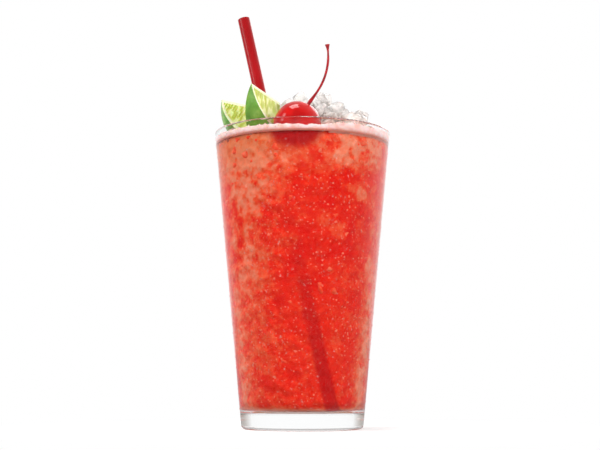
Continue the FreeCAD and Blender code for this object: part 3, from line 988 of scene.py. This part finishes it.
def wedge_frame(lie):
    """The lime's middle, its core's direction, and the two directions across it."""
    swing, rise, roll = (math.radians(lie[k]) for k in ("swing", "rise", "roll"))
    level = math.cos(rise)
    core = Vector((-level * math.cos(swing), -level * math.sin(swing), math.sin(rise)))
    down = (Vector((0, 0, -1)) + core * core.z).normalized()
    lit_edge = down * math.cos(roll) + core.cross(down) * math.sin(roll)
    middle = Vector(lie["tip"]) * MM - core * LIME_HALF
    return middle, core, lit_edge, -core.cross(lit_edge)


def lime_point(placed, along, out, turn):
    """A point along the core, out from it by a share of the lime's radius, and that radius."""
    middle, core, lit_edge, far = placed
    radius = LIME_RADIUS * math.sqrt(max(1 - (along / LIME_HALF) ** 2, 0))
    direction = lit_edge * math.cos(turn) + far * math.sin(turn)
    return middle + core * along + direction * radius * out, radius


for side, lie in WEDGES.items():
    print(f"{side} wedge: core points to", [round(part, 2) for part in wedge_frame(lie)[1]])

# %% [markdown]
# From outside in, a wedge has a thin green rind, a pale pith, and flesh of long juice sacs that
# fan out from a pale core. Its four sides are grids. On the cut faces a grid runs along the core
# and outwards from it, so that the sacs can stand up a little, and each point keeps its distance
# from the rind, which the colours follow.

# %% The four sides of a wedge
CORE_PITH = 3.0 * MM
PITH = 1.9 * MM
ALONG_STEPS = 64
OUT_STEPS = 44
TURN_STEPS = 26


def wedge_point(placed, lie, kind, u, v):
    """A point on one side of a wedge and its depth under the rind. u and v go from 0 to 1."""
    start = lie["cut"] * MM
    along = start + (LIME_HALF - start) * (1 - (1 - u) ** 2)
    if kind == "rind":
        return lime_point(placed, along, 1.0, WEDGE_SPREAD * v)[0], 0.0
    if kind == "end":
        point, radius = lime_point(placed, start, v, WEDGE_SPREAD * u)
        return point, radius * (1 - v)
    point, radius = lime_point(placed, along, v, 0.0 if kind == "lit" else WEDGE_SPREAD)
    to_tip = (LIME_HALF - along) * 0.55
    depth = min(radius * (1 - v), to_tip + radius * (1 - v) * 0.4)
    if radius * v < CORE_PITH:
        depth = min(depth, PITH + (radius * v / CORE_PITH) * 2.0 * MM)
    return point, depth


def wedge_grid(placed, lie, kind):
    """Points, depths under the rind in metres, and faces of one of the wedge's four sides."""
    rows = ALONG_STEPS if kind != "end" else TURN_STEPS
    columns = TURN_STEPS if kind == "rind" else OUT_STEPS
    points, depths, faces = [], [], []
    for row in range(rows + 1):
        for column in range(columns + 1):
            point, depth = wedge_point(placed, lie, kind, row / rows, column / columns)
            points.append(point)
            depths.append(depth)
    for row in range(rows):
        for column in range(columns):
            a = row * (columns + 1) + column
            quad = (a, a + 1, a + columns + 2, a + columns + 1)
            faces.append(quad if kind in ("far", "end") else quad[::-1])
    return points, depths, faces


print("points on a cut face:", (ALONG_STEPS + 1) * (OUT_STEPS + 1))

# %% [markdown]
# A juice sac is a drop about a millimetre wide and six long that points at the core. Stretched
# cells of a Voronoi pattern have that shape, and they lift the cut faces by a third of a
# millimetre. The sides of a wedge meet at sharp edges, while each side is smooth.

# %% Both wedges
SAC_LENGTH = 6.0 * MM
SAC_WIDTH = 1.3 * MM
SAC_HEIGHT = 0.38 * MM
SAC_SLANT = 0.35


def sac_relief(placed, point):
    """How far the juice sacs stand up here: long cells that fan out from the core."""
    middle, core, lit_edge, far = placed
    offset = point - middle
    out = offset.dot(lit_edge * math.cos(WEDGE_SPREAD / 2) + far * math.sin(WEDGE_SPREAD / 2))
    along = offset.dot(core) - SAC_SLANT * out
    cell = Vector((along / SAC_WIDTH, out / SAC_LENGTH, 3.7))
    return 1.0 - min(noise.voronoi(cell)[0][0] * 1.5, 1.0)


def cut_normals(placed):
    """The direction that each cut side faces."""
    _, core, lit_edge, far = placed
    far_edge = lit_edge * math.cos(WEDGE_SPREAD) + far * math.sin(WEDGE_SPREAD)
    return {"lit": core.cross(lit_edge), "far": -core.cross(far_edge), "end": -core}


def raised(placed, point, depth, normal):
    """A point of a cut side, lifted by its juice sac where there is flesh."""
    flesh = smooth_step(depth, PITH, PITH + 1.2 * MM)
    off_core = smooth_step((point - placed[0]).cross(placed[1]).length, 0.8 * MM, 2.5 * MM)
    lift = (sac_relief(placed, point) - 0.75) * SAC_HEIGHT
    return point + normal * lift * flesh * off_core


def build_wedge(side):
    """One wedge: rind, two cut faces and the end, joined at their edges."""
    lie = WEDGES[side]
    placed = wedge_frame(lie)
    normals = cut_normals(placed)
    points, depths, sacs, faces = [], [], [], []
    for kind in ("rind", "lit", "far", "end"):
        side_points, side_depths, side_faces = wedge_grid(placed, lie, kind)
        sacs.extend([sac_relief(placed, point) for point in side_points])
        faces.extend([tuple(i + len(points) for i in face) for face in side_faces])
        for point, depth in zip(side_points, side_depths):
            points.append(raised(placed, point, depth, normals[kind]) if kind in normals else point)
        depths.extend(side_depths)
    piece = make_mesh(f"lime_wedge_{side}", points, faces)
    keep_numbers(piece, "under_rind", [depth / MM for depth in depths])
    keep_numbers(piece, "juice_sac", sacs)
    shape = bmesh.new()
    shape.from_mesh(piece.data)
    bmesh.ops.remove_doubles(shape, verts=shape.verts, dist=0.01 * MM)
    bmesh.ops.recalc_face_normals(shape, faces=shape.faces)
    shape.to_mesh(piece.data)
    shape.free()
    piece.data.set_sharp_from_angle(angle=math.radians(50))
    return piece


# %% [markdown]
# Fresh cut lime. The waxy rind is a mid green, mottled pale, with oil pores that dent it. Pith is
# a pale yellow-green. The sacs are translucent yellow-green with paler walls between them, and
# the cut is wet, so it is glossy. The distance under the rind, in millimetres, says where rind
# ends and where flesh begins.

# %% Cut lime
cut_lime, tree = new_finish("fresh_cut_lime")
coords = add(tree, "TexCoord").outputs["Object"]
under = add(tree, "Attribute", attribute_name="under_rind").outputs["Fac"]
sac_here = add(tree, "Attribute", attribute_name="juice_sac").outputs["Fac"]
mottle = add(tree, "TexNoise", {"Scale": 1 / (5 * MM), "Detail": 3.0, "Vector": coords})
pores = add(tree, "TexVoronoi", {"Scale": 1 / (1.3 * MM), "Vector": coords})
rind = add(
    tree,
    "ValToRGB",
    {"Fac": mottle},
    stops=((0.3, srgb("#588c2a")), (0.55, srgb("#72a23c")), (0.75, srgb("#94ba5a"))),
)
uneven = add(tree, "Math", {0: mottle, 1: 0.5}, operation="SUBTRACT")
flesh = add(
    tree,
    "ValToRGB",
    {"Fac": add(tree, "Math", {0: uneven, 1: 0.5, 2: sac_here}, operation="MULTIPLY_ADD")},
    stops=(
        (0.02, srgb("#e4eaa0")),
        (0.2, srgb("#c6cf5c")),
        (0.5, srgb("#b8c244")),
        (0.9, srgb("#aab636")),
    ),
)
past_rind = add(tree, "MapRange", {"From Min": 0.3, "From Max": 0.5, "Value": under})
past_pith = add(tree, "MapRange", {"From Min": 2.8, "From Max": 3.3, "Value": under})
skin = add(
    tree,
    "Mix",
    {SHARE: past_rind, FIRST: rind, SECOND: srgb("#f1f5cc")},
    data_type="RGBA",
).outputs[MIXED]
lime_colour = add(
    tree,
    "Mix",
    {SHARE: past_pith, FIRST: skin, SECOND: flesh},
    data_type="RGBA",
).outputs[MIXED]
bump = add(tree, "Bump", {"Strength": 0.25, "Distance": 0.25 * MM, "Height": pores})
shader = add(
    tree,
    "BsdfPrincipled",
    {
        "Roughness": 0.3,
        "IOR": 1.4,
        "Subsurface Weight": 0.25,
        "Subsurface Scale": 2.0 * MM,
        "Base Color": lime_colour,
        "Normal": bump,
    },
)
add(tree, "OutputMaterial", {"Surface": shader})
for side in WEDGES:
    dress(build_wedge(side), cut_lime, "lime", f"lime_{side}_wedge")

# %% [markdown]
# ## The cherry and its stem
# A cocktail cherry is bleached, dyed and steeped in syrup: a tight, glossy skin over flesh that
# glows because light goes in some millimetres. Subsurface scattering gives that glow and a thin
# clear coat the syrup. The stem is dyed too, unevenly, because its fibres take up dye as they
# please.

# %% Syrup cherry
syrup_cherry, tree = new_finish("syrup_steeped_cherry")
coords = add(tree, "TexCoord").outputs["Object"]
ripeness = add(tree, "TexNoise", {"Scale": 1 / (7 * MM), "Detail": 2.0, "Vector": coords})
cherry_red = add(
    tree, "ValToRGB", {"Fac": ripeness}, stops=((0.35, srgb("#b00808")), (0.65, srgb("#c9100d")))
)
shader = add(
    tree,
    "BsdfPrincipled",
    {
        "Roughness": 0.12,
        "IOR": 1.45,
        "Specular IOR Level": 0.35,
        "Subsurface Weight": 0.3,
        "Subsurface Radius": (1.0, 0.1, 0.05),
        "Subsurface Scale": 2.5 * MM,
        "Coat Weight": 0.15,
        "Coat Roughness": 0.04,
        "Base Color": cherry_red,
    },
)
add(tree, "OutputMaterial", {"Surface": shader})
refinish("cherry", syrup_cherry)

# %% Dyed stem
dyed_stem, tree = new_finish("dyed_cherry_stem")
coords = add(tree, "TexCoord").outputs["Object"]
fibre = add(tree, "TexNoise", {"Scale": 1 / (1.5 * MM), "Detail": 2.0, "Vector": coords})
stem_red = add(
    tree, "ValToRGB", {"Fac": fibre}, stops=((0.3, srgb("#7c0d16")), (0.7, srgb("#b01a22")))
)
shader = add(tree, "BsdfPrincipled", {"Roughness": 0.3, "IOR": 1.45, "Base Color": stem_red})
add(tree, "OutputMaterial", {"Surface": shader})
refinish("cherry_stem", dyed_stem)

# %% [markdown]
# ## The straw
# Extruded polypropylene, dyed through. The die leaves it smooth along its length, so a lamp
# shows as one narrow stripe, and the dye varies a little from one end to the other.

# %% Straw plastic
straw_plastic, tree = new_finish("extruded_polypropylene")
coords = add(tree, "TexCoord").outputs["Object"]
dye = add(tree, "TexNoise", {"Scale": 1 / (25 * MM), "Detail": 1.0, "Vector": coords})
straw_red = add(
    tree, "ValToRGB", {"Fac": dye}, stops=((0.3, srgb("#960a10")), (0.7, srgb("#a80e14")))
)
shader = add(
    tree,
    "BsdfPrincipled",
    {"Roughness": 0.22, "IOR": 1.49, "Specular IOR Level": 0.35, "Base Color": straw_red},
)
add(tree, "OutputMaterial", {"Surface": shader})
refinish("straw", straw_plastic)

# %% [markdown]
# ## Dew on the tumbler
# Water condenses on cold glass as thousands of beads under a millimetre wide. Each is a flat cap
# that sits on the wall, open underneath because water that wets the glass has no skin there. A
# bead is made once, and copies are laid on the cone at random places, most of them tiny.

# %% Beads of dew
DEW_COUNT = 5200
BEAD_SIDES = 7
BEAD_FLATNESS = 0.6
BEAD_LENGTH = 1.1
FOOT_RADIUS = 30.15 * MM
OUTER_SLOPE = (RIM_RADIUS - FOOT_RADIUS) / RIM_Z


def bead():
    """A low cap of unit width, open where it meets the glass, as arrays. Its height is along X."""
    points = [(0.5, 0.0, 0.0)]
    turns = [2 * math.pi * step / BEAD_SIDES for step in range(BEAD_SIDES)]
    for lift, out in ((0.36, 0.32), (-0.02, 0.5)):
        points.extend([(lift, out * math.cos(turn), out * math.sin(turn)) for turn in turns])
    faces = []
    for step in range(BEAD_SIDES):
        a, b = 1 + step, 1 + (step + 1) % BEAD_SIDES
        faces.append((0, a, b))
        faces.append((a, a + BEAD_SIDES, b + BEAD_SIDES))
        faces.append((a, b + BEAD_SIDES, b))
    return np.array(points), np.array(faces)


def dew_places(chance):
    """Places on the outer wall below the rim, small ones most often."""
    places = []
    for _ in range(DEW_COUNT):
        z = chance.uniform(9 * MM, RIM_Z - 4 * MM)
        angle = chance.uniform(0, 2 * math.pi)
        size = (0.22 + 0.6 * chance.random() ** 4) * MM
        places.append((angle, z, size))
    return places


def lay_beads(name, places, shape):
    """Beads flattened against the outer wall, joined in one mesh."""
    points, faces = shape
    all_points, all_faces = [], []
    for number, (angle, z, size) in enumerate(places):
        out = Vector((math.cos(angle), math.sin(angle), -OUTER_SLOPE)).normalized()
        side = Vector((-math.sin(angle), math.cos(angle), 0))
        turn = np.array((out * BEAD_FLATNESS, side, out.cross(side) * BEAD_LENGTH))
        centre = np.array(round_axis(FOOT_RADIUS + OUTER_SLOPE * z, angle, z))
        all_points.append(points @ turn * size + centre)
        all_faces.append(faces + number * len(points))
    return make_mesh(name, np.vstack(all_points), np.vstack(all_faces).tolist())


dew = lay_beads("dew", dew_places(random.Random(3)), bead())

dew_water, tree = new_finish("condensed_water")
# The beads scatter a fifth of their light matt in pale pink: painted glints, tinted with the red
# drink seen through them.
shader = add(
    tree,
    "BsdfPrincipled",
    {"Base Color": srgb("#ffe6dc"), "Roughness": 0.05, "IOR": 1.33, "Transmission Weight": 0.8},
)
add(tree, "OutputMaterial", {"Surface": let_lamps_through(tree, shader, srgb("#ffffff"))})
dress(dew, dew_water, "glass")

# %% [markdown]
# ## The studio
# A white table in a white room. What is seen of them directly, or through clear glass, is white
# at strength 1. The drink is lit by the same room at less than half that strength and by six
# soft lamps, so that colours come out about as they are written.
# White all round would leave clear glass without edges. So a mirror ray meets a room that is
# white behind the drink and darker towards the front, and a ray that has come through glass
# finds brown low down at the left and the right, as if a wooden counter went on there.

# %% The room
EDGE_BROWN = srgb("#94806f")
WHITE = srgb("#ffffff")


def beside(tree, vector):
    """1 for low directions to the left and right of the drink, 0 for the others."""
    unit = add(tree, "VectorMath", {0: vector}, operation="NORMALIZE")
    parts = add(tree, "SeparateXYZ", {0: unit}).outputs
    aside = add(tree, "Math", {0: parts["X"]}, operation="ABSOLUTE")
    steep = add(tree, "Math", {0: parts["Z"]}, operation="ABSOLUTE")
    sideways = add(tree, "MapRange", {"From Min": 0.68, "From Max": 0.92, "Value": aside})
    low = add(
        tree,
        "MapRange",
        {"From Min": 0.1, "From Max": 0.25, "To Min": 1.0, "To Max": 0.0, "Value": steep},
    )
    return add(tree, "Math", {0: sideways, 1: low}, operation="MULTIPLY")


def seen_directly(tree, path):
    """1 for rays from the camera and rays that come through glass, 0 for the others."""
    rays = {0: path["Is Camera Ray"], 1: path["Is Transmission Ray"]}
    return add(tree, "Math", rays, operation="MAXIMUM")


def seen_brown(tree, path, vector):
    """1 for rays that come through glass and meet something low at the left or right."""
    both = {0: beside(tree, vector), 1: path["Is Transmission Ray"]}
    return add(tree, "Math", both, operation="MULTIPLY")


world = bpy.data.worlds.new("studio")
bpy.context.scene.world = world
world.use_nodes = True
tree = world.node_tree
tree.nodes.clear()
path = add(tree, "LightPath").outputs
towards = add(tree, "TexCoord").outputs["Generated"]
direction = add(tree, "SeparateXYZ", {0: towards}).outputs
behind = add(
    tree,
    "Math",
    {0: direction["X"], 1: 0.6, 2: direction["Y"]},
    operation="MULTIPLY_ADD",
)
in_mirrors = add(
    tree,
    "MapRange",
    {"From Min": -0.3, "From Max": 0.9, "To Min": 0.3, "To Max": 1.0, "Value": behind},
)
as_light = add(
    tree,
    "MapRange",
    {"From Min": -1.0, "From Max": 1.0, "To Min": 0.46, "To Max": 0.42, "Value": direction["X"]},
)
unseen = add(
    tree,
    "Mix",
    {0: path["Is Glossy Ray"], 2: as_light, 3: in_mirrors},
    data_type="FLOAT",
)
strength = add(tree, "Math", {0: unseen, 1: seen_directly(tree, path)}, operation="MAXIMUM")
room_colour = add(
    tree,
    "Mix",
    {SHARE: seen_brown(tree, path, towards), FIRST: WHITE, SECOND: EDGE_BROWN},
    data_type="RGBA",
).outputs[MIXED]
room = add(tree, "Background", {"Color": room_colour, "Strength": strength})
add(tree, "OutputWorld", {"Surface": room})
print("the room is white, and brown low down at both sides for rays through glass")

# %% [markdown]
# The table is matt and takes a soft shadow round the foot of the glass. Right under the glass,
# where its shadow is deepest, it shows plain white to the eye and through glass, which keeps the
# thick base bright: painted light. Beyond six centimetres it fades to the plain white of the room,
# so that no horizon shows. The ramp counts its places in steps of 20 cm.

# %% The table
TABLE_HALF = 3
FADE_UNIT = 0.2

corners = [(-1, -1, 0), (1, -1, 0), (1, 1, 0), (-1, 1, 0)]
table = make_mesh(
    "table_top", [(x * TABLE_HALF, y * TABLE_HALF, z) for x, y, z in corners], [(0, 1, 2, 3)], False
)
table_white, tree = new_finish("white_table")
path = add(tree, "LightPath").outputs
place = add(tree, "TexCoord").outputs["Object"]
distance = add(tree, "VectorMath", {0: place}, operation="LENGTH").outputs["Value"]
# Inside 2.7 cm, under the glass, the table is given plain white light in place of its shadow:
# painted light.
near = add(
    tree,
    "ValToRGB",
    {"Fac": add(tree, "Math", {0: distance, 1: 1 / FADE_UNIT}, operation="MULTIPLY")},
    stops=(
        (0.135, (0, 0, 0, 1)),
        (0.15, (1, 1, 1, 1)),
        (0.30, (1, 1, 1, 1)),
        (0.85, (0, 0, 0, 1)),
    ),
)
matt = add(tree, "BsdfDiffuse", {"Color": srgb("#eeeeee")})
glow = add(tree, "Emission", {"Color": WHITE, "Strength": 0.30})
lit = add(tree, "AddShader", {0: matt, 1: glow})
white = add(tree, "Emission", {"Color": WHITE, "Strength": 1.0})
fading = add(tree, "MixShader", {0: near, 1: white, 2: lit})
to_the_eye = add(tree, "MixShader", {0: seen_directly(tree, path), 1: matt, 2: fading})
brown = add(tree, "Emission", {"Color": EDGE_BROWN, "Strength": 1.0})
edged = add(tree, "MixShader", {0: seen_brown(tree, path, place), 1: to_the_eye, 2: brown})
dim = add(tree, "Emission", {"Color": WHITE, "Strength": 0.55})
tabletop = add(tree, "MixShader", {0: path["Is Glossy Ray"], 1: edged, 2: dim})
add(tree, "OutputMaterial", {"Surface": tabletop})
table.data.materials.append(table_white)
print("table top:", 2 * TABLE_HALF, "m across")

# %% [markdown]
# Six softboxes face the drink. None shows through the glass, where it would lie over the drink.
# The big ones at the front corners and behind the left shoulder give plain light only, and the
# others also leave their mirror images on the cherry, the straw and the ice.

# %% Lamps
MIDDLE = Vector((0, 0, 0.11))


def softbox(name, place, width, height, power, mirrored=True):
    """A flat lamp that faces the drink."""
    lamp = bpy.data.lights.new(name, "AREA")
    lamp.shape = "RECTANGLE"
    lamp.size, lamp.size_y = width, height
    lamp.energy = power
    holder = bpy.data.objects.new(name, lamp)
    holder.location = place
    holder.rotation_euler = (MIDDLE - Vector(place)).to_track_quat("-Z", "Y").to_euler()
    holder.visible_transmission = False
    holder.visible_glossy = mirrored
    bpy.context.scene.collection.objects.link(holder)
    print(f"{name} lamp: {power} W, {width} by {height} m")


softbox("left", (-0.92, -0.25, 0.55), 0.25, 0.60, 2.2)
softbox("top", (-0.10, -0.02, 0.75), 0.28, 0.28, 1.6)
softbox("back", (0.35, 0.70, 0.60), 0.50, 0.40, 1.6)
softbox("back_left", (-0.90, 0.80, 0.42), 0.50, 0.60, 4.0, mirrored=False)
softbox("front_left", (-0.80, -0.95, 0.42), 0.50, 0.60, 6.2, mirrored=False)
softbox("front_right", (0.90, -0.80, 0.42), 0.50, 0.60, 9.6, mirrored=False)

# %% [markdown]
# The camera stands low in front, two thirds of a metre off, and looks up a little. Its long
# lens keeps the perspective mild.

# %% Camera
LOOKS_UP = 6.84

camera_data = bpy.data.cameras.new("camera")
camera_data.sensor_width = 36.0
camera_data.lens = 78.06
camera = bpy.data.objects.new("camera", camera_data)
camera.location = (0.0, -0.6526, 0.0237)
camera.rotation_mode = "XYZ"
camera.rotation_euler = (math.radians(90 + LOOKS_UP), 0.0, 0.0018)
bpy.context.scene.collection.objects.link(camera)
bpy.context.scene.camera = camera
bpy.context.scene.view_settings.view_transform = "Standard"
print(f"camera: {camera_data.lens:.0f} mm lens, {camera.location.z / MM:.0f} mm up")
